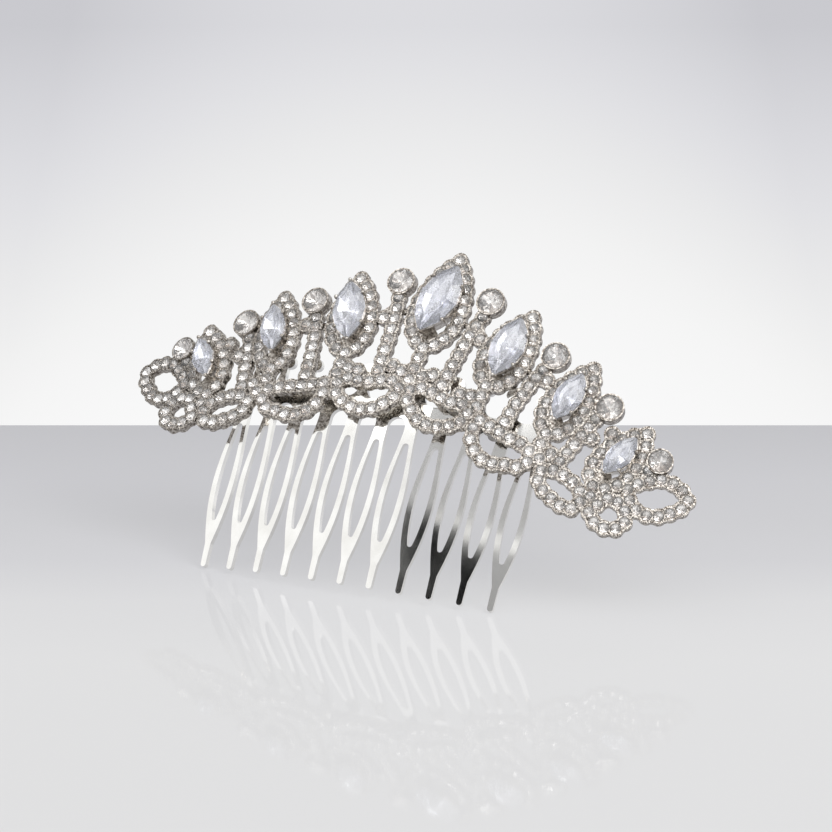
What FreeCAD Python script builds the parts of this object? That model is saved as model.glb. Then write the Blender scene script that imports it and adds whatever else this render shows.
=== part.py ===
import FreeCAD, Part
import math
import os

# Tiara hair comb: a stamped steel comb with eleven looped teeth, and a bowed openwork
# tiara of stone-set castings soldered to the front of its spine.
# Millimetres. X runs along the width, Y runs to the back, Z is up.
# The comb stands on its tooth tips and leans back, as it does on display.
# The tiara sits a little off the comb's centre and hangs a little lower on the right.

Vector = FreeCAD.Vector
Rotation = FreeCAD.Rotation
Placement = FreeCAD.Placement

# --- comb ---
TEETH = 11
TOOTH_PITCH = 5.65
SHEET = 0.9
COMB_BOW_RADIUS = 150.0
# Side profile: an arc that meets the comb's upright at the tips and at this height.
COMB_PROFILE_RADIUS = 200.0
PROFILE_LENGTH = 38.0
COMB_LEAN = 34.5
PRONG_HALF = 0.52
PRONG_ROOT_HALF = 0.6
PRONG_LENGTH = 4.2
SLOT_BOTTOM = 8.4
SLOT_TOP = 26.6
SLOT_LOW_RADIUS = 0.5
SLOT_TOP_RADIUS = 0.62
SLOT_LOW_PULL = 3.2
SLOT_TOP_PULL = 7.5
SLOT_TOP_BULGE = 0.35
BRANCH = 0.95
TOOTH_HALF_WIDE = 2.3
TOOTH_WIDEST = 16.0
NECK_HALF = 1.15
SPINE_LOW = 31.2
SPINE_TOP = 34.4
SPINE_DIP = 0.5
LOBE_NECK_HALF = 0.55
LOBE_CENTRE = 38.9
LOBE_HALF_WIDE = 1.7
LOBE_HALF_TALL = 1.35
LOBE_SHOULDER = 1.1
# Each module is cut out a little wider than its share of the bow, then trimmed to it.
SPARE = 0.3
BLANK_THICK = 6.0
BLANK_SPAN = 20.0

# --- tiara surface: the plane that the small stones' tops lie in, bowed and leaned ---
TIARA_BOW_RADIUS = 155.0
TIARA_LEAN = 42.5
TIARA_ROLL = 4.4
TIARA_YAW = -1.2
TIARA_CENTRE = Vector(3.5, 19.3, 32.9)

# --- small stones and their cups ---
PITCH = 2.12
CUP_RADIUS = 1.45
CUP_TOP = -0.2
CUP_BACK = -1.35
WEB_HALF = 1.22
WEB_REACH = 2.8
SEAT_RADIUS = 0.95
SEAT_DEPTH = 0.95
SEAT_POINT = 0.2
LEAST_GAP = 1.88
CRYSTAL_RADIUS = 0.93
CRYSTAL_GIRDLE = -0.22
CRYSTAL_TABLE = 0.28
CRYSTAL_TABLE_RADIUS = 0.53
CRYSTAL_CULET = -0.95
CRYSTAL_RIM = 0.08

# --- large stones ---
ROUND_RADIUS = 2.35
ROUND_CUP_RADIUS = 2.6
ROUND_HOLLOW_DEPTH = 1.4
ROUND_WALL = 0.2
ROUND_CUP_TOP = 0.5
ROUND_GIRDLE = 0.48
ROUND_TABLE = 1.22
ROUND_TABLE_SHARE = 0.6
ROUND_CULET = -0.85
ROUND_RIM = 0.1
SMALL_ROUND_SCALE = 0.9
STONE_GIRDLE = 1.7
STONE_RIM = 0.25
STONE_INSET = 0.12
CROWN_RISE = 0.3
TABLE_LONG_SHARE = 0.66
TABLE_WIDE_SHARE = 0.6
KEEL_DROP = 0.6
KEEL_LONG_SHARE = 0.3
KEEL_WIDE_SHARE = 0.12
BASKET_WALL = 0.35
BASKET_SHRINK = 0.6
# The basket tapers and thickens more at its two pointed ends than at its sides.
BASKET_END_SHRINK = 0.96
BASKET_END_WALL = 0.84
CLAW_RADIUS = 0.36
CLAW_RISE = 0.15
SIDE_CLAW_PLACE = 0.5
STONE_PLACE = 0.51
# A thin cast floor in the foot of each leaf carries the lower end of the stone's basket.
FLOOR_RADIUS = 1.7
FLOOR_PLACE = 2.3
FLOOR_TOP = -0.6
# Shape of a leaf's side: how wide (of the half width) and how high (of the length).
LEAF_LOW_PULL = (1.5, 0.12)
LEAF_HIGH_PULL = (1.15, 0.72)

# Leaves of the right half: foot, tilt outward in degrees, length, half width, stone size.
LEAVES = {
    4: ((0.0, 6.3), 0.0, 17.6, 4.45, (14.0, 7.6)),
    5: ((14.1, 2.2), 12.0, 14.9, 3.75, (12.0, 6.4)),
    6: ((27.6, -3.2), 14.0, 14.4, 3.35, (10.0, 5.2)),
    7: ((38.9, -9.7), 24.0, 13.4, 3.35, (9.0, 4.5)),
}
# How far each stone was set off its leaf's line, clockwise in degrees, from left to right.
STONE_TURNS = (-12, -9, -9, 9, -8, -4, -3)
# Further stones of each leaf: the stalk down to the base row and the ones beside it.
STALKS = {
    4: [(0.1, 4.2), (0.1, 2.0), (0.0, -0.2), (2.1, 0.9), (4.0, 1.6), (-2.1, 0.9), (-4.0, 1.6)],
    5: [(14.0, 0.1), (14.0, -2.0), (12.2, -0.5), (10.2, -0.6)],
    6: [(27.5, -5.3), (29.9, -6.5), (28.3, -8.0)],
    7: [(39.3, -11.7), (38.6, 0.5)],
}
# Stems of the right half, from the base row up to the round stone's cup.
STEMS = {
    5: [(6.3, 0.2), (6.8, 4.5), (7.4, 9.8), (8.4, 14.5)],
    6: [(19.9, -3.4), (20.6, 0.6), (21.6, 4.6), (22.8, 7.9)],
    7: [(31.9, -7.4), (32.8, -4.6), (33.8, -1.2), (34.9, 2.1)],
}
ROUND_STONES = {5: (8.9, 17.4), 6: (24.0, 10.8), 7: (36.5, 4.7), 8: (48.3, -1.6)}
# Closed rings of the base row and the ends, right half.
SWAGS = {
    4: [(1.1, -2.2), (3.6, -1.2), (6.3, -1.9), (9.2, -2.4), (12.0, -2.6), (13.1, -4.1),
        (12.0, -6.0), (9.8, -7.2), (7.0, -7.7), (4.3, -7.0), (2.1, -4.9)],
    5: [(15.6, -4.3), (18.4, -5.1), (21.2, -5.8), (23.7, -6.3), (26.2, -7.3), (26.6, -9.1),
        (25.7, -10.5), (23.4, -10.9), (20.8, -11.4), (17.8, -10.7), (15.9, -9.0),
        (15.1, -6.9)],
    6: [(29.5, -10.0), (31.1, -9.3), (33.8, -9.6), (36.6, -10.9), (38.0, -12.9),
        (37.3, -14.7), (34.9, -15.0), (32.8, -14.2), (30.2, -12.6)],
}
END_LEAF = [(55.3, -6.4), (52.7, -4.6), (49.3, -4.6), (47.0, -6.1), (44.9, -8.0),
            (46.0, -10.1), (48.3, -11.5), (51.1, -11.2), (54.1, -8.9)]
END_LOOP = [(41.0, -12.7), (40.3, -14.9), (42.3, -16.1), (44.6, -16.2), (46.5, -14.5),
            (46.3, -12.9), (44.4, -11.1), (42.5, -10.8)]
# Single stones that tie a stem to the next leaf, with the stem they belong to.
LINK_STONES = {5: (9.6, 10.3), 6: (24.2, 6.2), 7: (35.6, -1.5), 8: (46.9, -3.8)}
# Thin bars between a leaf and the stem beside it.
LINK_BARS = [((4.3, 12.5), (7.8, 12.2)), ((18.7, 7.4), (22.2, 6.6)), ((32.5, 3.2), (34.9, 2.2))]
BAR_RADIUS = 0.55
BAR_HEIGHT = -1.1
# Where solder joins the back of the castings to the comb, and its radius.
SOLDER_POINTS = [(-26.8, -8.6), (-14.2, -4.2), (0.0, -1.6), (9.4, -2.5), (18.4, -5.3)]
SOLDER_RADIUS = 1.05
SOLDER_FLARE = 1.25
SOLDER_SINK = 0.1
SOLDER_LAP = 0.25
SOLDER_STEP = 0.05
SOLDER_DEEPEST = -9.0
MIDDLE_LEAF = 4
STEM_COUNT = 8
SWAG_COUNT = 6

tiara = Placement(TIARA_CENTRE, Rotation(Vector(0, 0, 1), TIARA_YAW)
                  * Rotation(Vector(0, 1, 0), TIARA_ROLL)
                  * Rotation(Vector(1, 0, 0), -TIARA_LEAN))


def on_tiara(u, v, height=0.0):
    """Placement on the tiara surface: its Z points out of the surface and its Y along v."""
    turn = u / TIARA_BOW_RADIUS
    reach = TIARA_BOW_RADIUS + height
    spot = Vector(reach * math.sin(turn), TIARA_BOW_RADIUS - reach * math.cos(turn), v)
    facing = Rotation(Vector(0, 0, 1), math.degrees(turn)) * Rotation(Vector(1, 0, 0), 90)
    return tiara * Placement(spot, facing)


class Flat:
    """A flat casting's own plane: it touches the bowed surface at the casting's middle."""

    def __init__(self, spots):
        self.u = (min(p[0] for p in spots) + max(p[0] for p in spots)) / 2
        self.v = (min(p[1] for p in spots) + max(p[1] for p in spots)) / 2
        self.frame = on_tiara(self.u, self.v)

    def local(self, u, v, height=0.0):
        return Vector(u - self.u, v - self.v, height)

    def set(self, shape):
        shape.Placement = self.frame
        return shape


def mirrored(spots):
    return [(-u, v) for u, v in spots]


def joined(shapes):
    """One solid from shapes that touch, with the seams between like faces removed."""
    if len(shapes) == 1:
        return shapes[0]
    return shapes[0].multiFuse(shapes[1:]).removeSplitter()


def along(points, closed):
    """Stone places at an even pitch along a smooth curve through a few points."""
    curve = Part.BSplineCurve()
    curve.interpolate([Vector(u, v, 0) for u, v in points], PeriodicFlag=closed)
    count = round(curve.length() / PITCH)
    spots = curve.discretize(Number=count + 1)
    if closed:
        spots = spots[:-1]
    return [(p.x, p.y) for p in spots]


def leaf_spots(foot, tilt, length, half_width):
    """Stone places round a pointed leaf: up one side to the tip and down the other."""
    side = Part.BezierCurve()
    pulls = [Vector(wide * half_width, high * length, 0)
             for wide, high in (LEAF_LOW_PULL, LEAF_HIGH_PULL)]
    side.setPoles([Vector(0, 0, 0)] + pulls + [Vector(0, length, 0)])
    count = round(side.length() / PITCH)
    right = side.discretize(Number=count + 1)
    ring = [(p.x, p.y) for p in right] + [(-p.x, p.y) for p in right[-2:0:-1]]
    turn = math.radians(tilt)
    return [(foot[0] + x * math.cos(turn) + y * math.sin(turn),
             foot[1] - x * math.sin(turn) + y * math.cos(turn)) for x, y in ring]


class Layout:
    """Keeps the stone places taken so far, so that no two cups stand on one spot."""

    def __init__(self):
        self.taken = []

    def take(self, spots):
        kept = []
        for u, v in spots:
            others = self.taken + kept
            if all(math.hypot(u - a, v - b) >= LEAST_GAP for a, b in others):
                kept.append((u, v))
        self.taken += kept + mirrored(kept)
        return kept


def cup(at, radius=CUP_RADIUS, top=CUP_TOP):
    """Plain round cup, from the castings' common back up to its top."""
    return Part.makeCylinder(radius, top - CUP_BACK, at + Vector(0, 0, CUP_BACK))


def seat(at, radius=SEAT_RADIUS, depth=SEAT_DEPTH, top=CUP_TOP):
    """Conical hollow for a stone, with a small flat bottom."""
    return Part.makeCone(SEAT_POINT * radius, radius, depth, at + Vector(0, 0, top - depth))


def webs(places):
    """Flat bars that fill the notches between neighbouring cups."""
    bars = []
    for i, a in enumerate(places):
        for b in places[:i]:
            step = b - a
            if step.Length < WEB_REACH:
                bar = Part.makeBox(step.Length, 2 * WEB_HALF, CUP_TOP - CUP_BACK,
                                   Vector(0, -WEB_HALF, CUP_BACK))
                bar.Placement = Placement(a, Rotation(Vector(1, 0, 0), step))
                bars.append(bar)
    return bars


def casting(flat, spots, extras=None, hollows=None):
    """A run of stone cups cast in one flat piece, each with a conical seat."""
    places = [flat.local(u, v) for u, v in spots]
    body = joined([cup(p) for p in places] + webs(places) + (extras or []))
    body = body.cut([seat(p) for p in places] + (hollows or []))
    return flat.set(body)


def turned_stone(at, radius, girdle, table, table_radius, culet, rim):
    """A round cut stone turned about its axis: pavilion, girdle, crown and table."""
    outline = Part.makePolygon([Vector(0, 0, culet), Vector(radius, 0, girdle - rim),
                                Vector(radius, 0, girdle), Vector(table_radius, 0, table),
                                Vector(0, 0, table), Vector(0, 0, culet)])
    stone = Part.Face(outline).revolve(Vector(0, 0, 0), Vector(0, 0, 1), 360)
    stone.translate(at)
    return stone


def crystals(flat, spots):
    """The small stones of a casting, one separate solid in each cup."""
    stones = []
    for u, v in spots:
        stone = turned_stone(flat.local(u, v), CRYSTAL_RADIUS, CRYSTAL_GIRDLE, CRYSTAL_TABLE,
                             CRYSTAL_TABLE_RADIUS, CRYSTAL_CULET, CRYSTAL_RIM)
        stones.append(flat.set(Part.makeCompound([stone])))
    return stones


def marquise(half_length, half_width, height):
    """Closed pointed-oval wire of two arcs, long along Y, at the given height."""
    top = Vector(0, half_length, height)
    bottom = Vector(0, -half_length, height)
    right = Part.Arc(bottom, Vector(half_width, 0, height), top).toShape()
    left = Part.Arc(top, Vector(-half_width, 0, height), bottom).toShape()
    return Part.Wire([right, left])


def leaf_place(flat, leaf, side, number):
    """Placement of a leaf's stone: near the middle of the leaf, turned by its tilt."""
    foot, tilt, length = leaf[:3]
    turn = math.radians(tilt)
    middle = STONE_PLACE * length
    u = side * (foot[0] + middle * math.sin(turn))
    v = foot[1] + middle * math.cos(turn)
    total = -side * tilt - STONE_TURNS[number - 1]
    return flat.frame * Placement(flat.local(u, v), Rotation(Vector(0, 0, 1), total))


def marquise_setting(place, size):
    """Flared basket with a wall under the stone's girdle and six claws over its edge."""
    a, b = size[0] / 2, size[1] / 2
    low_a, low_b = a - BASKET_END_SHRINK, b - BASKET_SHRINK
    outer = Part.makeLoft([marquise(low_a, low_b, CUP_BACK),
                           marquise(a, b, STONE_GIRDLE - STONE_RIM)], True, True)
    inner = Part.makeLoft([marquise(low_a - BASKET_END_WALL, low_b - BASKET_WALL,
                                    CUP_BACK - STONE_RIM),
                           marquise(a - BASKET_END_WALL, b - BASKET_WALL, STONE_GIRDLE)],
                          True, True)
    parts = [outer.cut(inner)]
    side = SIDE_CLAW_PLACE * a
    radius = (a * a + b * b) / (2 * b)
    across = math.sqrt(radius * radius - side * side) - (radius - b)
    feet = [(0, a), (0, -a), (across, side), (-across, side), (across, -side), (-across, -side)]
    for x, y in feet:
        low = Vector(x * low_b / b, y * low_a / a, CUP_BACK)
        high = Vector(x, y, STONE_GIRDLE + CLAW_RISE)
        claw = Part.makeCylinder(CLAW_RADIUS, (high - low).Length, low, high - low)
        parts.append(claw)
        parts.append(Part.makeSphere(CLAW_RADIUS, high))
    setting = parts[0].multiFuse(parts[1:])
    setting = setting.cut(stone_blank(size))
    setting.Placement = place
    return setting


def stone_blank(size):
    """Pointed-oval stone: table, sloping crown, thin girdle and a deep pavilion."""
    a, b = size[0] / 2 - STONE_INSET, size[1] / 2 - STONE_INSET
    low = STONE_GIRDLE - STONE_RIM
    table = marquise(TABLE_LONG_SHARE * a, TABLE_WIDE_SHARE * b, STONE_GIRDLE + CROWN_RISE * b)
    crown = Part.makeLoft([marquise(a, b, STONE_GIRDLE), table], True, True)
    rim = Part.Face(marquise(a, b, low)).extrude(Vector(0, 0, STONE_RIM))
    keel = marquise(KEEL_LONG_SHARE * a, KEEL_WIDE_SHARE * b, low - KEEL_DROP * b)
    pavilion = Part.makeLoft([keel, marquise(a, b, low)], True, True)
    return crown.multiFuse([rim, pavilion])


def marquise_stone(place, size):
    stone = stone_blank(size)
    stone.Placement = place
    return stone


def stem(flat, spots, head, scale):
    """Stem of small cups with the round stone's cup at its head."""
    at = flat.local(*head)
    outer = cup(at, ROUND_CUP_RADIUS * scale, ROUND_CUP_TOP)
    hollow = seat(at, (ROUND_CUP_RADIUS - ROUND_WALL) * scale, ROUND_HOLLOW_DEPTH, ROUND_CUP_TOP)
    return casting(flat, spots, [outer], [hollow])


def round_stone(flat, head, scale):
    radius = ROUND_RADIUS * scale
    stone = turned_stone(flat.local(*head), radius, ROUND_GIRDLE, ROUND_TABLE,
                         ROUND_TABLE_SHARE * radius, ROUND_CULET, ROUND_RIM)
    return flat.set(Part.makeCompound([stone]))


def link_bar(start, end):
    """Short cast bar lying in the metal between two pieces."""
    a = on_tiara(start[0], start[1], BAR_HEIGHT).Base
    b = on_tiara(end[0], end[1], BAR_HEIGHT).Base
    return Part.makeCylinder(BAR_RADIUS, (b - a).Length, a, b - a)


# --- comb ---

comb = Placement(Vector(0, 0, 0), Rotation(Vector(1, 0, 0), -COMB_LEAN))


def bezier(*points):
    curve = Part.BezierCurve()
    curve.setPoles([Vector(x, 0, z) for x, z in points])
    return curve.toShape()


def line(x1, z1, x2, z2):
    return Part.makeLine(Vector(x1, 0, z1), Vector(x2, 0, z2))


def arc(x1, z1, x2, z2, x3, z3):
    return Part.Arc(Vector(x1, 0, z1), Vector(x2, 0, z2), Vector(x3, 0, z3)).toShape()


def side_edges(s):
    """Right (s=1) or left (s=-1) edges of a tooth and its half of the spine, going up."""
    half = TOOTH_PITCH / 2
    corner = half - NECK_HALF
    start = SPINE_LOW - corner
    neck = s * NECK_HALF
    wide = s * TOOTH_HALF_WIDE
    root = s * PRONG_ROOT_HALF
    bend = corner * (1 - math.sqrt(0.5))
    outer = s * (half + SPARE)
    dip = SPINE_TOP - SPINE_DIP
    lobe_neck = s * LOBE_NECK_HALF
    return [
        line(s * PRONG_HALF, PRONG_HALF, root, PRONG_LENGTH),
        bezier((root, PRONG_LENGTH), (s * 1.3, 7.0), (wide, 10.5), (wide, TOOTH_WIDEST)),
        bezier((wide, TOOTH_WIDEST), (wide, 21.0), (neck, 25.5), (neck, start)),
        arc(neck, start, s * (NECK_HALF + bend), SPINE_LOW - bend, s * half, SPINE_LOW),
        line(s * half, SPINE_LOW, outer, SPINE_LOW),
        line(outer, SPINE_LOW, outer, dip),
        line(outer, dip, s * half, dip),
        bezier((s * half, dip), (s * 2.0, dip), (lobe_neck, SPINE_TOP - 0.2),
               (lobe_neck, LOBE_CENTRE - LOBE_SHOULDER)),
    ]


def tooth_outline():
    """Outer wire of one tooth module: prong, looped tooth, spine length and top lobe."""
    tip = arc(-PRONG_HALF, PRONG_HALF, 0, 0, PRONG_HALF, PRONG_HALF)
    low = LOBE_CENTRE - LOBE_SHOULDER
    top = LOBE_CENTRE + LOBE_HALF_TALL
    lobe_right = bezier((LOBE_NECK_HALF, low), (1.5 * LOBE_HALF_WIDE, low),
                        (LOBE_HALF_WIDE, top), (0, top))
    lobe_left = bezier((-LOBE_NECK_HALF, low), (-1.5 * LOBE_HALF_WIDE, low),
                       (-LOBE_HALF_WIDE, top), (0, top))
    edges = [tip] + side_edges(1) + side_edges(-1) + [lobe_right, lobe_left]
    return Part.Wire(Part.__sortEdges__(edges))


def slot_outline():
    """The long lens-shaped opening of a tooth, rounded at both ends."""
    wide = TOOTH_HALF_WIDE - BRANCH
    r_low, r_top = SLOT_LOW_RADIUS, SLOT_TOP_RADIUS
    low, high = SLOT_BOTTOM + r_low, SLOT_TOP - r_top
    bottom = arc(-r_low, low, 0, SLOT_BOTTOM, r_low, low)
    top = arc(-r_top, high, 0, SLOT_TOP, r_top, high)
    sides = [bezier((s * r_low, low), (s * wide, low + SLOT_LOW_PULL),
                    (s * (wide + SLOT_TOP_BULGE), high - SLOT_TOP_PULL), (s * r_top, high))
             for s in (1, -1)]
    return Part.Wire(Part.__sortEdges__([bottom, top] + sides))


def curved_sheet():
    """Sheet curved in side view: the teeth sweep back towards the spine."""
    sag = PROFILE_LENGTH ** 2 / (8 * COMB_PROFILE_RADIUS)
    centre = Vector(-BLANK_SPAN / 2, COMB_PROFILE_RADIUS - sag, PROFILE_LENGTH / 2)
    along_x = Vector(1, 0, 0)
    outside = Part.makeCylinder(COMB_PROFILE_RADIUS + SHEET / 2, BLANK_SPAN, centre, along_x)
    inside = Part.makeCylinder(COMB_PROFILE_RADIUS - SHEET / 2, BLANK_SPAN, centre, along_x)
    return outside.cut(inside)


def sector():
    """The share of the bow that one tooth module fills, between two planes on its axis."""
    front = -BLANK_THICK
    side = (COMB_BOW_RADIUS - front) * math.tan(TOOTH_PITCH / COMB_BOW_RADIUS / 2)
    corners = [Vector(0, COMB_BOW_RADIUS, 0), Vector(-side, front, 0), Vector(side, front, 0)]
    wedge = Part.Face(Part.makePolygon(corners + corners[:1]))
    return wedge.extrude(Vector(0, 0, LOBE_CENTRE + BLANK_SPAN))


def tooth_module():
    face = Part.Face(tooth_outline())
    slot = Part.Face(slot_outline())
    blank = face.extrude(Vector(0, BLANK_THICK, 0))
    opening = slot.extrude(Vector(0, BLANK_THICK, 0))
    blank.translate(Vector(0, -BLANK_THICK / 2, 0))
    opening.translate(Vector(0, -BLANK_THICK / 2, 0))
    return blank.common(curved_sheet()).cut(opening).common(sector())


def comb_plate():
    """Eleven like modules set round the bow and joined along the spine."""
    module = tooth_module()
    modules = []
    for i in range(TEETH):
        turn = (i - (TEETH - 1) / 2) * TOOTH_PITCH / COMB_BOW_RADIUS
        spot = Vector(COMB_BOW_RADIUS * math.sin(turn),
                      COMB_BOW_RADIUS * (1 - math.cos(turn)), 0)
        copy = module.copy()
        copy.Placement = comb * Placement(spot, Rotation(Vector(0, 0, 1), math.degrees(turn)))
        modules.append(copy)
    return modules[0].multiFuse(modules[1:])


def comb_offset(point):
    """How far a point lies behind the comb's middle surface (negative in front of it)."""
    p = comb.inverse().multVec(point)
    radial = math.hypot(p.x, COMB_BOW_RADIUS - p.y)
    bowed = COMB_BOW_RADIUS - radial
    sag = PROFILE_LENGTH ** 2 / (8 * COMB_PROFILE_RADIUS)
    drop = COMB_PROFILE_RADIUS - sag
    rise = p.z - PROFILE_LENGTH / 2
    return bowed - (drop - math.sqrt(COMB_PROFILE_RADIUS ** 2 - rise ** 2))


def solder(u, v):
    """Solder fillet from the back of a casting to the front of the comb."""
    depth = CUP_BACK
    while comb_offset(on_tiara(u, v, depth).Base) < -SHEET / 2 and depth > SOLDER_DEEPEST:
        depth -= SOLDER_STEP
    depth -= SOLDER_SINK
    length = CUP_BACK + SOLDER_LAP - depth
    blob = Part.makeCone(SOLDER_FLARE * SOLDER_RADIUS, SOLDER_RADIUS, length)
    blob.Placement = on_tiara(u, v, depth)
    return blob


def leaf_floor(flat, leaf, side):
    """Thin disc across the foot of a leaf, level with the backs of its cups."""
    foot, tilt = leaf[:2]
    turn = math.radians(tilt)
    at = flat.local(side * (foot[0] + FLOOR_PLACE * math.sin(turn)),
                    foot[1] + FLOOR_PLACE * math.cos(turn))
    return cup(at, FLOOR_RADIUS, FLOOR_TOP)


def add_leaves(nodes, layout, stones):
    """Leaf castings with their settings and marquise stones, mirrored to the left."""
    for i, leaf in LEAVES.items():
        spots = layout.take(leaf_spots(*leaf[:4]) + STALKS[i])
        sides = [(i, 1, spots)]
        if i != MIDDLE_LEAF:
            sides.append((2 * MIDDLE_LEAF - i, -1, mirrored(spots)))
        for number, side, places in sides:
            flat = Flat(places)
            middle = leaf_place(flat, leaf, side, number)
            floor = leaf_floor(flat, leaf, side)
            nodes["leaf_frame_%d" % number] = casting(flat, places, [floor])
            nodes["marquise_setting_%d" % number] = marquise_setting(middle, leaf[4])
            nodes["marquise_stone_%d" % number] = marquise_stone(middle, leaf[4])
            stones += crystals(flat, places)


def add_rings(nodes, layout, names, ring, stones):
    """A closed ring on the right and its mirror image on the left."""
    spots = layout.take(along(ring, True))
    for name, places in zip(names, (spots, mirrored(spots))):
        flat = Flat(places)
        nodes[name] = casting(flat, places)
        stones += crystals(flat, places)


def add_stems(nodes, layout, stones):
    """Stems with their round cups and stones, numbered from left to right."""
    for i, head in ROUND_STONES.items():
        run = along(STEMS[i], False) if i in STEMS else []
        spots = layout.take(run + [LINK_STONES[i]])
        scale = 1.0 if i in STEMS else SMALL_ROUND_SCALE
        right = (i, spots, head)
        left = (STEM_COUNT + 1 - i, mirrored(spots), (-head[0], head[1]))
        for number, places, top in (right, left):
            flat = Flat(places + [top])
            nodes["stem_%d" % number] = stem(flat, places, top, scale)
            nodes["round_stone_%d" % number] = round_stone(flat, top, scale)
            stones += crystals(flat, places)


def build():
    nodes = {"comb_plate": comb_plate()}
    layout = Layout()
    groups = {"leaf_crystals": [], "stem_crystals": [], "swag_crystals": [],
              "end_crystals": []}
    add_leaves(nodes, layout, groups["leaf_crystals"])
    for i, ring in SWAGS.items():
        names = ("swag_%d" % i, "swag_%d" % (SWAG_COUNT + 1 - i))
        add_rings(nodes, layout, names, ring, groups["swag_crystals"])
    ends = groups["end_crystals"]
    add_rings(nodes, layout, ("end_leaf_right", "end_leaf_left"), END_LEAF, ends)
    add_rings(nodes, layout, ("end_loop_right", "end_loop_left"), END_LOOP, ends)
    add_stems(nodes, layout, groups["stem_crystals"])
    for name, stones in groups.items():
        nodes[name] = Part.makeCompound(stones)
    bars = [link_bar(a, b) for a, b in LINK_BARS]
    bars += [link_bar(*mirrored(pair)) for pair in LINK_BARS]
    nodes["link_bars"] = Part.makeCompound(bars)
    nodes["solder_joints"] = Part.makeCompound([solder(u, v) for u, v in SOLDER_POINTS])
    return nodes


def main():
    nodes = build()
    whole = Part.makeCompound(list(nodes.values()))
    whole.tessellate(0.05)
    box = whole.BoundBox
    shift = Vector(-box.Center.x, -box.Center.y, -box.ZMin)
    os.makedirs("parts", exist_ok=True)
    for name, shape in nodes.items():
        shape.translate(shift)
        shape.exportStep("parts/%s.step" % name)
        print(name, len(shape.Solids), shape.isValid(), round(shape.Volume, 2))
    print("nodes", len(nodes), "box", round(box.XLength, 2), round(box.YLength, 2),
          round(box.ZLength, 2), "shift", shift)


main()
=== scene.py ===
import math
import random

import bpy
import numpy as np
from mathutils import Matrix, Vector


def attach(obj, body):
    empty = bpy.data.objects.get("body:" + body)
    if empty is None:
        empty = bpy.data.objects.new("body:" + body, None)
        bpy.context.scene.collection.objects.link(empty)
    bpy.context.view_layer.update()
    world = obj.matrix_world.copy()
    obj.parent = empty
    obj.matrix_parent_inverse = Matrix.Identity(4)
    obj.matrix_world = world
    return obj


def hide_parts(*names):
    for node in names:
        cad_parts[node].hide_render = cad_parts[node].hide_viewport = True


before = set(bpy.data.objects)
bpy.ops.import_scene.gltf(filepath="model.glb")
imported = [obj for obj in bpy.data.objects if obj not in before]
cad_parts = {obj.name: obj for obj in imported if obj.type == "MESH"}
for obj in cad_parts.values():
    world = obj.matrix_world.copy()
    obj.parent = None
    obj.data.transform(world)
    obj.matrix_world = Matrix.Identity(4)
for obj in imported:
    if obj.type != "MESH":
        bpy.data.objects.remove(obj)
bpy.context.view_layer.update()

# Looks of a rhinestone tiara hair comb: cut stones, claw beads and beaded cup rims are
# built on the places of the CAD stones, and every metal gets its own finish.
# Metres and degrees, in the CAD frame. A stone's own Z axis points out of its setting.

MM = 0.001

# --- camera ---
AZIMUTH = 27.4
ELEVATION = 16.24
DISTANCE = 1.3983
LENS = 324.0
TARGET = Vector((-0.0389, 0.0802, 0.0018))
CAMERA_REACH = 20.0

# --- claws and beaded rims of the small stones' cups ---
CLAW_COUNT = 4
CLAW_RING = 1.12 * MM
CLAW_RADIUS = 0.15 * MM
CLAW_RISE = 0.06 * MM
RIM_BEADS = 22
RIM_RING = 1.36 * MM
RIM_RADIUS = 0.15 * MM
BEAD_SIZES = (0.85, 1.15)
CUP_EDGE = 1.1 * MM
NEIGHBOUR_REACH = 4 * CUP_EDGE

# The cut stones stand a little over the edges of their seats.
SMALL_SWELL = 1.13
MARQUISE_SWELL = 1.035

# --- cut of a round stone, as shares of its radius and heights ---
STONE_GROUPS = ("leaf", "stem", "swag", "end")
FACETS = 8
STAR_OUT = 0.55
STAR_UP = 0.56
KEEL_OUT = 0.42
KEEL_UP = 0.36

# --- cut of a marquise, as shares of its half sizes and heights ---
NAVETTE_STEPS = 4
NAVETTE_TABLE_LONG = 0.62
NAVETTE_TABLE_WIDE = 0.55
NAVETTE_KEEL_LONG = 0.5
NAVETTE_KEEL_WIDE = 0.42
NAVETTE_KEEL_UP = 0.55

# A point is on the girdle past this share of the stone's radius or half width, and on a
# round stone's table past this share of its height.
ROUND_EDGE = 0.99
MARQUISE_EDGE = 0.98

# Points of a CAD mesh that agree to this many decimals are one point.
MERGE_DECIMALS = 6

random.seed(7)


# --- places of the stones, from the CAD ---

def solids_of(name):
    """The separate solids of a CAD node, each as an array of its points."""
    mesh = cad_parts[name].data
    keys = {}
    index = [keys.setdefault(tuple(round(c, MERGE_DECIMALS) for c in v.co), len(keys))
             for v in mesh.vertices]
    parent = list(range(len(keys)))

    def root(i):
        while parent[i] != i:
            parent[i] = parent[parent[i]]
            i = parent[i]
        return i

    for face in mesh.polygons:
        first = root(index[face.vertices[0]])
        for v in face.vertices[1:]:
            parent[root(index[v])] = first
    groups = {}
    for point, i in keys.items():
        groups.setdefault(root(i), []).append(point)
    return [np.array(g) for g in groups.values()]


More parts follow.
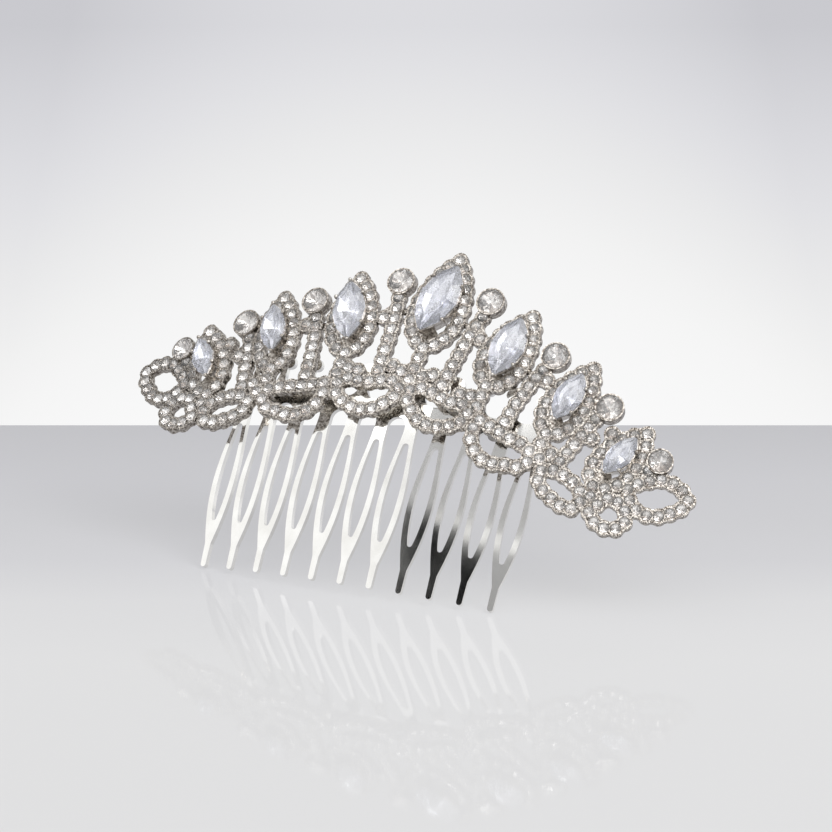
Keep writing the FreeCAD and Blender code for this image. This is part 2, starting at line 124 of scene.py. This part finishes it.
class Turned:
    """A round stone of the CAD: where it stands, which way it faces, and its sizes."""

    def __init__(self, points):
        middle = points.mean(0)
        spans, axes = np.linalg.eigh(np.cov((points - middle).T))
        odd = 0 if spans[1] - spans[0] > spans[2] - spans[1] else 2
        out = axes[:, odd]
        if out[1] > 0:
            out = -out
        height = (points - middle) @ out
        foot = points[height.argmin()]
        height = (points - foot) @ out
        radial = np.linalg.norm(points - foot - np.outer(height, out), axis=1)
        self.radius = radial.max()
        edge = height[radial > ROUND_EDGE * self.radius]
        self.girdle = edge.max()
        self.low_girdle = edge.min()
        self.table = height.max()
        self.table_radius = radial[height > ROUND_EDGE * self.table].max()
        self.foot = Vector(foot)
        self.out = Vector(out)

    def place(self, turn=0.0):
        """Matrix that puts the culet at its place, with Z out of the setting."""
        facing = self.out.to_track_quat("Z", "Y").to_matrix().to_4x4()
        return Matrix.Translation(self.foot) @ facing @ Matrix.Rotation(turn, 4, "Z")

    def centre(self):
        """Middle of the stone, at the height of its girdle."""
        return self.foot + self.out * self.girdle


class Marquise:
    """A pointed-oval stone of the CAD: place, facing, and half sizes."""

    def __init__(self, points):
        middle = (points.max(0) + points.min(0)) / 2
        axes = np.linalg.eigh(np.cov((points - middle).T))[1]
        out, long = axes[:, 0], axes[:, 2]
        if out[1] > 0:
            out = -out
        if long[2] < 0:
            long = -long
        across = np.cross(long, out)
        local = (points - middle) @ np.array([across, long, out]).T
        low, high = local.min(0), local.max(0)
        shift = (high + low) / 2
        self.half_wide = (high[0] - low[0]) / 2
        self.half_long = (high[1] - low[1]) / 2
        edge = local[np.abs(local[:, 0]) > MARQUISE_EDGE * self.half_wide + abs(shift[0])]
        self.bottom, self.top = low[2], high[2]
        self.girdle = edge[:, 2].max()
        self.low_girdle = edge[:, 2].min()
        origin = middle + across * shift[0] + long * shift[1]
        self.matrix = Matrix((
            (across[0], long[0], out[0], origin[0]),
            (across[1], long[1], out[1], origin[1]),
            (across[2], long[2], out[2], origin[2]),
            (0, 0, 0, 1)))


# --- meshes ---

def link(name, data):
    """New object of the scene, for a mesh, a light or a camera."""
    made = bpy.data.objects.new(name, data)
    bpy.context.scene.collection.objects.link(made)
    return made


class Gathered:
    """Points and faces of many small shapes, gathered into one object."""

    def __init__(self):
        self.points = []
        self.faces = []
        self.slots = []
        self.tones = []

    def add(self, matrix, points, faces, slots=None):
        """One more shape, moved by a matrix; each face gets a tone of its own."""
        base = len(self.points)
        self.points += [matrix @ Vector(p) for p in points]
        self.faces += [[base + i for i in face] for face in faces]
        self.slots += slots or [0] * len(faces)
        self.tones += [random.random() for _ in faces]

    def object(self, name, materials, smooth=False):
        """The object of everything gathered so far."""
        mesh = bpy.data.meshes.new(name)
        mesh.from_pydata(self.points, [], self.faces)
        for m in materials:
            mesh.materials.append(m)
        mesh.polygons.foreach_set("material_index", self.slots)
        mesh.polygons.foreach_set("use_smooth", [smooth] * len(self.faces))
        tone = mesh.attributes.new("tone", "FLOAT", "FACE")
        tone.data.foreach_set("value", self.tones)
        mesh.update()
        return link(name, mesh)


def ring(count, radius, height, offset=0.0):
    """Points round the Z axis; an offset of 0.5 turns them by half a step."""
    step = 2 * math.pi / count
    return [(radius * math.cos(step * (i + offset)), radius * math.sin(step * (i + offset)),
             height) for i in range(count)]


def brilliant(stone):
    """Facets of a round brilliant: crown and pavilion rings of eight, girdle of sixteen."""
    n = FACETS
    star_radius = (1 - STAR_OUT) * stone.table_radius + STAR_OUT * stone.radius
    star_height = stone.girdle + STAR_UP * (stone.table - stone.girdle)
    points = ring(n, stone.table_radius, stone.table)
    points += ring(n, star_radius, star_height, offset=0.5)
    points += ring(2 * n, stone.radius, stone.girdle)
    points += ring(2 * n, stone.radius, stone.low_girdle)
    points += ring(n, KEEL_OUT * stone.radius, KEEL_UP * stone.low_girdle, offset=0.5)
    points.append((0, 0, 0))
    table, star, girdle, low, keel = 0, n, 2 * n, 4 * n, 6 * n
    culet = 7 * n
    crown = [list(range(n))]
    pavilion = []
    for i in range(n):
        j = (i + 1) % n
        before = (i - 1) % n
        a, b, c = 2 * i, 2 * i + 1, (2 * i + 2) % (2 * n)
        crown.append([table + i, star + i, table + j])
        crown.append([table + i, star + before, girdle + a, star + i])
        crown.append([star + i, girdle + a, girdle + b])
        crown.append([star + i, girdle + b, girdle + c])
        pavilion.append([girdle + a, low + a, low + b, girdle + b])
        pavilion.append([girdle + b, low + b, low + c, girdle + c])
        pavilion.append([low + a, keel + i, low + b])
        pavilion.append([low + b, keel + i, low + c])
        pavilion.append([low + a, keel + before, culet, keel + i])
    return points, crown + pavilion, [0] * len(crown) + [1] * len(pavilion)


def navette_ring(stone, scale_long, scale_wide, height):
    """Points round a pointed oval, from the upper tip down the right and up the left."""
    a, b = stone.half_long, stone.half_wide
    radius = (a * a + b * b) / (2 * b)
    sweep = math.asin(a / radius)
    points = []
    for side in (1, -1):
        for i in range(NAVETTE_STEPS):
            t = side * sweep * (1 - 2 * i / NAVETTE_STEPS)
            x = side * (radius * math.cos(t) - (radius - b))
            points.append((scale_wide * x, scale_long * radius * math.sin(t), height))
    return points


def navette(stone):
    """Facets of a marquise cut: table, crown of kites, and a pavilion to a centre culet."""
    n = 2 * NAVETTE_STEPS
    keel_height = (1 - NAVETTE_KEEL_UP) * stone.bottom + NAVETTE_KEEL_UP * stone.low_girdle
    points = navette_ring(stone, NAVETTE_TABLE_LONG, NAVETTE_TABLE_WIDE, stone.top)
    points += navette_ring(stone, 1, 1, stone.girdle)
    points += navette_ring(stone, 1, 1, stone.low_girdle)
    points += navette_ring(stone, NAVETTE_KEEL_LONG, NAVETTE_KEEL_WIDE, keel_height)
    points.append((0, 0, stone.bottom))
    table, girdle, low, keel, culet = 0, n, 2 * n, 3 * n, 4 * n
    crown = [list(range(n))[::-1]]
    pavilion = []
    for i in range(n):
        j = (i + 1) % n
        if i % 2:
            crown.append([table + i, table + j, girdle + j])
            crown.append([table + i, girdle + j, girdle + i])
        else:
            crown.append([table + i, table + j, girdle + i])
            crown.append([table + j, girdle + j, girdle + i])
        pavilion.append([girdle + i, girdle + j, low + j, low + i])
        if i % 2:
            pavilion.append([low + i, low + j, keel + i])
            pavilion.append([low + j, keel + j, keel + i])
        else:
            pavilion.append([low + i, low + j, keel + j])
            pavilion.append([low + i, keel + j, keel + i])
        pavilion.append([keel + i, keel + j, culet])
    return points, crown + pavilion, [0] * len(crown) + [1] * len(pavilion)


def ball():
    """Icosahedron of radius 1, for the smallest beads: its edges are 1.05 long."""
    longest_edge = 1.2
    g = (1 + math.sqrt(5)) / 2
    points = []
    for s in (1, -1):
        for t in (g, -g):
            points += [(0, s, t), (s, t, 0), (t, 0, s)]
    length = math.sqrt(1 + g * g)
    points = [tuple(c / length for c in p) for p in points]
    faces = []
    for i in range(len(points)):
        for j in range(i + 1, len(points)):
            for k in range(j + 1, len(points)):
                p, q, r = (Vector(points[m]) for m in (i, j, k))
                if max((p - q).length, (q - r).length, (r - p).length) < longest_edge:
                    turned = (q - p).cross(r - p).dot(p) > 0
                    faces.append([i, j, k] if turned else [i, k, j])
    return points, faces


def round_ball():
    """Icosahedron with each face split in four, for the claws."""
    points, faces = ball()
    points = [Vector(p) for p in points]
    middles = {}

    def middle(i, j):
        key = (min(i, j), max(i, j))
        if key not in middles:
            points.append(((points[i] + points[j]) / 2).normalized())
            middles[key] = len(points) - 1
        return middles[key]

    split = []
    for i, j, k in faces:
        a, b, c = middle(i, j), middle(j, k), middle(k, i)
        split += [[i, a, c], [a, j, b], [c, b, k], [a, b, c]]
    return [tuple(p) for p in points], split


# --- parts of materials ---

def node(tree, kind, **values):
    """New node; a value goes to the input of that name, or else to the node's setting."""
    made = tree.nodes.new(kind)
    for name, value in values.items():
        if name in made.inputs:
            made.inputs[name].default_value = value
        else:
            setattr(made, name, value)
    return made


def ramp(tree, source, stops):
    """Colour ramp through (place, colour) stops."""
    made = tree.nodes.new("ShaderNodeValToRGB")
    elements = made.color_ramp.elements
    while len(elements) < len(stops):
        elements.new(0.5)
    for element, (place, colour) in zip(elements, stops):
        element.position = place
        element.color = (*colour, 1)
    tree.links.new(source, made.inputs["Fac"])
    return made.outputs["Color"]


def spread(tree, source, low, high, from_low=0.3, from_high=0.7):
    """Map a value to low..high; the default source range is where noise mostly stays."""
    made = node(tree, "ShaderNodeMapRange")
    made.inputs["From Min"].default_value = from_low
    made.inputs["From Max"].default_value = from_high
    made.inputs["To Min"].default_value = low
    made.inputs["To Max"].default_value = high
    tree.links.new(source, made.inputs["Value"])
    return made.outputs["Result"]


def noise(tree, scale, detail=3.0, stretch=None):
    """Noise in object space: scale is in features per metre."""
    where = node(tree, "ShaderNodeTexCoord").outputs["Object"]
    if stretch:
        mapping = node(tree, "ShaderNodeMapping")
        mapping.inputs["Scale"].default_value = stretch
        tree.links.new(where, mapping.inputs["Vector"])
        where = mapping.outputs["Vector"]
    made = node(tree, "ShaderNodeTexNoise", Scale=scale, Detail=detail)
    tree.links.new(where, made.inputs["Vector"])
    return made.outputs["Fac"]


def bump(tree, source, strength, distance):
    """Surface relief from a height, with its full depth as the distance."""
    made = node(tree, "ShaderNodeBump", Strength=strength, Distance=distance)
    tree.links.new(source, made.inputs["Height"])
    return made.outputs["Normal"]


def face_tone(tree):
    """The tone that each facet was given, from 0 to 1."""
    return node(tree, "ShaderNodeAttribute", attribute_name="tone").outputs["Fac"]


def start(name):
    """New material, with its node tree and its shader."""
    material = bpy.data.materials.new(name)
    material.use_nodes = True
    return material, material.node_tree, material.node_tree.nodes["Principled BSDF"]


# --- materials of the object ---

DRIFT_PLACES = (0.35, 0.65)
POLISH_SCALE = 0.6
GRAIN_STRENGTH = 0.6
GLASS_WEAR_SCALE = 700.0
GLASS_WEAR_ROUGH = 0.06
GLASS_WAVE_SCALE = 500.0
GLASS_WAVE_STRENGTH = 0.08
GLASS_WAVE_HEIGHT = 0.02 * MM
FOIL_SPARKLE_PLACES = (0.15, 0.6)
FOIL_WEAR_SCALE = 900.0


def metal(name, dark, light, rough, drift_scale, grain_scale, grain_height, stretch=None):
    """Metal with drifting colour, uneven polish and a fine surface texture."""
    material, tree, shader = start(name)
    shader.inputs["Metallic"].default_value = 1.0
    drift = noise(tree, drift_scale)
    tree.links.new(ramp(tree, drift, list(zip(DRIFT_PLACES, (dark, light)))),
                   shader.inputs["Base Color"])
    polish = noise(tree, POLISH_SCALE * drift_scale, detail=2.0, stretch=stretch)
    tree.links.new(spread(tree, polish, *rough), shader.inputs["Roughness"])
    grain = noise(tree, grain_scale, detail=2.0, stretch=stretch)
    tree.links.new(bump(tree, grain, GRAIN_STRENGTH, grain_height), shader.inputs["Normal"])
    return material


def crystal(name, shaded_facet_tint, tint, ior, clear):
    """Clear stone: the face's own tone shifts its tint a little, as painted facet shading, and
    it has fine wear.
    """
    material, tree, shader = start(name)
    shader.inputs["Transmission Weight"].default_value = clear
    shader.inputs["IOR"].default_value = ior
    # Painted facet shading: each face's tone picks its tint.
    tree.links.new(ramp(tree, face_tone(tree), [(0.0, shaded_facet_tint), (1.0, tint)]),
                   shader.inputs["Base Color"])
    wear = noise(tree, GLASS_WEAR_SCALE)
    tree.links.new(spread(tree, wear, 0.0, GLASS_WEAR_ROUGH), shader.inputs["Roughness"])
    wave = noise(tree, GLASS_WAVE_SCALE, detail=1.0)
    tree.links.new(bump(tree, wave, GLASS_WAVE_STRENGTH, GLASS_WAVE_HEIGHT),
                   shader.inputs["Normal"])
    return material


def foil(name, dark, light, rough):
    """Mirror backing of a stone, its facets painted at random from dark to light as painted
    glints and painted dark reflections.
    """
    material, tree, shader = start(name)
    shader.inputs["Metallic"].default_value = 1.0
    # Painted sparkle: each facet's own tone sets its brightness.
    tree.links.new(ramp(tree, face_tone(tree), list(zip(FOIL_SPARKLE_PLACES, (dark, light)))),
                   shader.inputs["Base Color"])
    wear = noise(tree, FOIL_WEAR_SCALE)
    tree.links.new(spread(tree, wear, *rough), shader.inputs["Roughness"])
    return material


comb_steel = metal("comb_steel", dark=(0.86, 0.85, 0.82), light=(0.95, 0.945, 0.92),
                   rough=(0.05, 0.12), drift_scale=260.0, grain_scale=900.0,
                   grain_height=0.003 * MM, stretch=(1, 1, 0.2))
cast_metal = metal("cast_metal", dark=(0.09, 0.07, 0.055), light=(0.66, 0.62, 0.57),
                   rough=(0.16, 0.38), drift_scale=2400.0, grain_scale=3400.0,
                   grain_height=0.06 * MM)
bead_metal = metal("bead_metal", dark=(0.05, 0.038, 0.03), light=(0.70, 0.66, 0.61),
                   rough=(0.14, 0.34), drift_scale=2900.0, grain_scale=3000.0,
                   grain_height=0.02 * MM)
setting_metal = metal("setting_metal", dark=(0.26, 0.23, 0.20), light=(0.66, 0.63, 0.59),
                      rough=(0.14, 0.30), drift_scale=1600.0, grain_scale=1800.0,
                      grain_height=0.02 * MM)
solder_metal = metal("solder_metal", dark=(0.24, 0.22, 0.20), light=(0.45, 0.43, 0.41),
                     rough=(0.30, 0.5), drift_scale=500.0, grain_scale=1500.0,
                     grain_height=0.05 * MM)

small_glass = crystal("small_glass", shaded_facet_tint=(0.80, 0.78, 0.75), tint=(1.0, 1.0, 1.0),
                      ior=1.54, clear=0.85)
round_glass = crystal("round_glass", shaded_facet_tint=(0.90, 0.88, 0.86), tint=(1.0, 0.995, 0.995),
                      ior=1.54, clear=0.85)
large_glass = crystal("large_glass", shaded_facet_tint=(0.89, 0.905, 0.97), tint=(0.97, 0.975, 1.0),
                      ior=1.52, clear=0.8)
small_foil = foil("small_foil", dark=(0.22, 0.185, 0.16), light=(0.98, 0.96, 0.95),
                  rough=(0.03, 0.14))
round_foil = foil("round_foil", dark=(0.42, 0.385, 0.36), light=(1.0, 0.99, 0.98),
                  rough=(0.1, 0.26))
large_foil = foil("large_foil", dark=(0.66, 0.67, 0.72), light=(0.98, 0.98, 1.0),
                  rough=(0.16, 0.32))


# --- stones and the beads round them ---

def claw_turn(stone, others):
    """Turn that puts the claws on either side of the line to the nearest stone."""
    here = stone.centre()
    near = min((o for o in others if o is not stone), key=lambda o: (o.centre() - here).length)
    local = stone.place().inverted() @ near.centre()
    return math.atan2(local.y, local.x) + math.pi / CLAW_COUNT


def add_beads(gathered, stone, others, turn, bead_shape, claw_shape):
    """Four claws over the stone's edge and a beaded rim, left out inside a neighbour."""
    place = stone.place(turn)
    near = [o.centre() for o in others
            if o is not stone and (o.centre() - stone.centre()).length < NEIGHBOUR_REACH]

    def set_ball(shape, ring_radius, angle, height, radius):
        at = place @ Vector((ring_radius * math.cos(angle), ring_radius * math.sin(angle),
                             height))
        if all((at - c).length > CUP_EDGE for c in near):
            size = radius * random.uniform(*BEAD_SIZES)
            spin = Matrix.Rotation(random.uniform(0, math.pi), 4, stone.out)
            gathered.add(Matrix.Translation(at) @ spin @ Matrix.Scale(size, 4), *shape)

    for i in range(CLAW_COUNT):
        set_ball(claw_shape, CLAW_RING, 2 * math.pi * i / CLAW_COUNT,
                 stone.girdle + CLAW_RISE, CLAW_RADIUS)
    for i in range(RIM_BEADS):
        set_ball(bead_shape, RIM_RING, 2 * math.pi * (i + 0.5) / RIM_BEADS, stone.girdle,
                 RIM_RADIUS)


def keep(piece, slot, *nodes):
    """Fix a new piece to the body, and hide the CAD nodes that it replaces; the slot is not
    used.
    """
    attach(piece, "root")
    if nodes:
        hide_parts(*nodes)


small_stones = {g: [Turned(p) for p in solids_of(g + "_crystals")] for g in STONE_GROUPS}
every_small = [s for group in small_stones.values() for s in group]
small_swell = Matrix.Diagonal((SMALL_SWELL, SMALL_SWELL, 1, 1))
bead, claw = ball(), round_ball()
for group, stones in small_stones.items():
    cut, beads = Gathered(), Gathered()
    for stone in stones:
        turn = claw_turn(stone, every_small)
        cut.add(stone.place(turn) @ small_swell, *brilliant(stone))
        add_beads(beads, stone, every_small, turn, bead, claw)
    keep(cut.object(group + "_cut_crystals", [small_glass, small_foil]), "small_crystal",
         group + "_crystals")
    keep(beads.object(group + "_beads", [bead_metal], smooth=True), "cast_metal")

marquise_swell = Matrix.Diagonal((MARQUISE_SWELL, MARQUISE_SWELL, 1, 1))
for name in sorted(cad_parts):
    if name.startswith("round_stone_"):
        stone = Turned(solids_of(name)[0])
        cut = Gathered()
        cut.add(stone.place(random.uniform(0, 1)), *brilliant(stone))
        keep(cut.object("cut_" + name, [round_glass, round_foil]), "round_crystal", name)
    if name.startswith("marquise_stone_"):
        stone = Marquise(solids_of(name)[0])
        cut = Gathered()
        cut.add(stone.matrix @ marquise_swell, *navette(stone))
        keep(cut.object("cut_" + name, [large_glass, large_foil]), "large_crystal", name)

# --- finishes of the CAD metal: a node's finish goes by how its name starts ---

FINISH = {"comb": comb_steel, "marquise_setting": setting_metal, "solder": solder_metal}
for name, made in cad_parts.items():
    finish = next((m for prefix, m in FINISH.items() if name.startswith(prefix)),
                  cast_metal)
    for slot in made.material_slots:
        slot.material = finish

# --- stage: a pale glossy sheet on a white table, both glowing with painted light ---

view_back = Vector((-math.sin(math.radians(AZIMUTH)), math.cos(math.radians(AZIMUTH)), 0))
view_right = Vector((view_back.y, -view_back.x, 0))
ground = Vector((TARGET.x, TARGET.y, 0))


def panel(name, corners, material):
    """One flat face with four corners, on the stage."""
    mesh = bpy.data.meshes.new(name)
    mesh.from_pydata(corners, [], [[0, 1, 2, 3]])
    mesh.materials.append(material)
    made = link(name, mesh)
    return made


def flat_sheet(name, near, far, half_wide, height, material):
    """Level rectangle, square to the view, between two distances from the sheet's edge."""
    corners = [ground + view_right * x + view_back * y + Vector((0, 0, height))
               for x, y in ((-half_wide, near), (half_wide, near), (half_wide, far),
                            (-half_wide, far))]
    panel(name, corners, material)


def along_view(tree, direction):
    """How far a point lies from the sheet's back edge along a level direction, in metres."""
    where = node(tree, "ShaderNodeTexCoord").outputs["Object"]
    less = node(tree, "ShaderNodeVectorMath", operation="SUBTRACT")
    less.inputs[1].default_value = ground
    tree.links.new(where, less.inputs[0])
    dot = node(tree, "ShaderNodeVectorMath", operation="DOT_PRODUCT")
    dot.inputs[1].default_value = direction
    tree.links.new(less.outputs["Vector"], dot.inputs[0])
    return dot.outputs["Value"]


def linear(value):
    """Linear light for a display value from 0 to 255, by the sRGB curve."""
    v = value / 255
    return v / 12.92 if v <= 0.04045 else ((v + 0.055) / 1.055) ** 2.4


def greys(stops):
    """Ramp stops of near greys, from (place, display value, added blue) rows."""
    return [(place, (linear(value), linear(value), linear(value + blue)))
            for place, value, blue in stops]


# The sheet glows with painted light, and a painted reflection darkens it towards its back
# edge; this brightness is given from its back edge to SHEET_SHADED in front of it.
SHEET_SHADED = 0.28
SHEET_LENGTH = 1.6
SHEET_HALF_WIDE = 2.0
SHEET_GLOW = 0.8
SHEET_BASE = (0.14, 0.14, 0.145, 1)
SHEET_ROUGH = 0.03
SHEET_IOR = 1.12
SHEET_PAINTED_GLOW = [(0.0, 176, 4), (0.128, 188, 4), (0.217, 192, 3), (0.303, 198.5, 3),
               (0.386, 211.5, 1), (0.506, 217, 0), (0.619, 217, 0), (1.0, 218.5, 0)]

sheet_material, tree, shader = start("sheet")
depth = spread(tree, along_view(tree, view_back), 1.0, 0.0, -SHEET_SHADED, 0.0)
# Painted light: the sheet's glow, with a painted reflection darker towards its back edge.
tree.links.new(ramp(tree, depth, greys(SHEET_PAINTED_GLOW)), shader.inputs["Emission Color"])
shader.inputs["Emission Strength"].default_value = SHEET_GLOW
shader.inputs["Base Color"].default_value = SHEET_BASE
shader.inputs["Roughness"].default_value = SHEET_ROUGH
shader.inputs["IOR"].default_value = SHEET_IOR
flat_sheet("sheet", -SHEET_LENGTH, 0.0, SHEET_HALF_WIDE, 0.0, sheet_material)

# The table glows with painted light, and painted light falloff darkens it with the distance
# behind the sheet, and with the square of the distance to either side. Each has its own share
# of the ramp.
TABLE_BACK = 0.342
TABLE_BACK_SHARE = 0.72
TABLE_ASIDE = 0.08
TABLE_ASIDE_SHARE = 0.52
TABLE_REACH = 2.5
TABLE_HALF_WIDE = 3.0
TABLE_DROP = 0.004
TABLE_PAINTED_GLOW = [(0.0, 251, 0), (0.194, 247.5, 0), (0.296, 245, 0), (0.367, 242, 0),
               (0.519, 233, 1), (0.641, 225, 3), (0.75, 218, 4), (1.0, 201, 5)]

table_material, tree, shader = start("table")
back = spread(tree, along_view(tree, view_back), 0.0, TABLE_BACK_SHARE, 0.0, TABLE_BACK)
wide = node(tree, "ShaderNodeMath", operation="ABSOLUTE")
tree.links.new(along_view(tree, view_right), wide.inputs[0])
aside = node(tree, "ShaderNodeMath", operation="POWER")
aside.inputs[1].default_value = 2.0
tree.links.new(spread(tree, wide.outputs[0], 0.0, TABLE_ASIDE_SHARE, 0.0, TABLE_ASIDE),
               aside.inputs[0])
total = node(tree, "ShaderNodeMath", operation="ADD")
tree.links.new(back, total.inputs[0])
tree.links.new(aside.outputs[0], total.inputs[1])
# Painted light: the table's glow and its falloff.
tree.links.new(ramp(tree, total.outputs[0], greys(TABLE_PAINTED_GLOW)),
               shader.inputs["Emission Color"])
shader.inputs["Emission Strength"].default_value = 1.0
shader.inputs["Base Color"].default_value = (0.0, 0.0, 0.0, 1)
shader.inputs["Specular IOR Level"].default_value = 0.0
flat_sheet("table", -TABLE_REACH, TABLE_REACH, TABLE_HALF_WIDE, -TABLE_DROP, table_material)

# --- light: softboxes, and cards for the polished metal to reflect ---

CARD_DISTANCE = 0.6


def toward(azimuth, elevation, distance):
    """Point at a distance from the origin; azimuth 0 is in front and 90 to the right."""
    a, e = math.radians(azimuth), math.radians(elevation)
    return Vector((math.sin(a) * math.cos(e), -math.cos(a) * math.cos(e), math.sin(e))) \
        * distance


def softbox(name, azimuth, elevation, distance, wide, tall, power):
    """Area light that faces the object from a direction, as azimuth and elevation."""
    light = bpy.data.lights.new(name, "AREA")
    light.shape = "RECTANGLE"
    light.size = wide
    light.size_y = tall
    light.energy = power
    made = link(name, light)
    made.location = toward(azimuth, elevation, distance)
    made.rotation_euler = toward(azimuth, elevation, 1).to_track_quat("Z", "Y").to_euler()
    made.visible_camera = False


def card(name, azimuth, elevation, wide, tall, slope, shade):
    """Matt card that faces the object; its upper and lower edges slope down to the right."""
    card_material, tree, shader = start(name)
    shader.inputs["Base Color"].default_value = (shade, shade, shade, 1)
    shader.inputs["Specular IOR Level"].default_value = 0.0
    right = Vector((math.cos(math.radians(azimuth)), math.sin(math.radians(azimuth)), 0))
    up = toward(azimuth, elevation + 90, 1)
    middle = toward(azimuth, elevation, CARD_DISTANCE)
    corners = [middle + right * x * wide / 2 + up * (y * tall - slope * x * wide) / 2
               for x, y in ((-1, -1), (1, -1), (1, 1), (-1, 1))]
    made = panel(name, corners, card_material)
    made.visible_camera = False


softbox("left_box", azimuth=-38, elevation=44, distance=1.2, wide=1.9, tall=0.85, power=4.9)
softbox("top_box", azimuth=60, elevation=65, distance=1.2, wide=1.3, tall=1.0, power=10.0)
softbox("upper_left_box", azimuth=-82, elevation=67, distance=1.2, wide=1.2, tall=0.58,
        power=3.2)
softbox("right_box", azimuth=75, elevation=35, distance=1.3, wide=0.6, tall=0.9, power=7.0)
softbox("back_box", azimuth=190, elevation=35, distance=1.4, wide=1.0, tall=0.4, power=3.0)

card("dark_card", azimuth=-13.0, elevation=38, wide=0.18, tall=0.13, slope=0.2, shade=0.01)
card("grey_card", azimuth=-1.0, elevation=38, wide=0.07, tall=0.12, slope=0.0, shade=0.5)
card("pale_card", azimuth=-12.0, elevation=52, wide=0.26, tall=0.13, slope=0.0, shade=0.62)

# The room behind the lights is pale at the level of the eye and darker overhead.
ROOM_GREYS = [(0.0, 238, 0), (0.22, 226, 0), (0.45, 90, 0), (0.8, 60, 0)]

world = bpy.data.worlds.new("studio")
bpy.context.scene.world = world
world.use_nodes = True
tree = world.node_tree
split = node(tree, "ShaderNodeSeparateXYZ")
tree.links.new(node(tree, "ShaderNodeTexCoord").outputs["Generated"], split.inputs[0])
tree.links.new(ramp(tree, split.outputs["Z"], greys(ROOM_GREYS)),
               tree.nodes["Background"].inputs["Color"])

# --- camera and finish ---

camera_data = bpy.data.cameras.new("camera")
camera_data.lens = LENS
camera_data.clip_end = CAMERA_REACH
camera = link("camera", camera_data)
camera.location = TARGET + toward(AZIMUTH, ELEVATION, DISTANCE)
camera.rotation_euler = (camera.location - TARGET).to_track_quat("Z", "Y").to_euler()
bpy.context.scene.camera = camera
bpy.context.scene.view_settings.view_transform = "Standard"
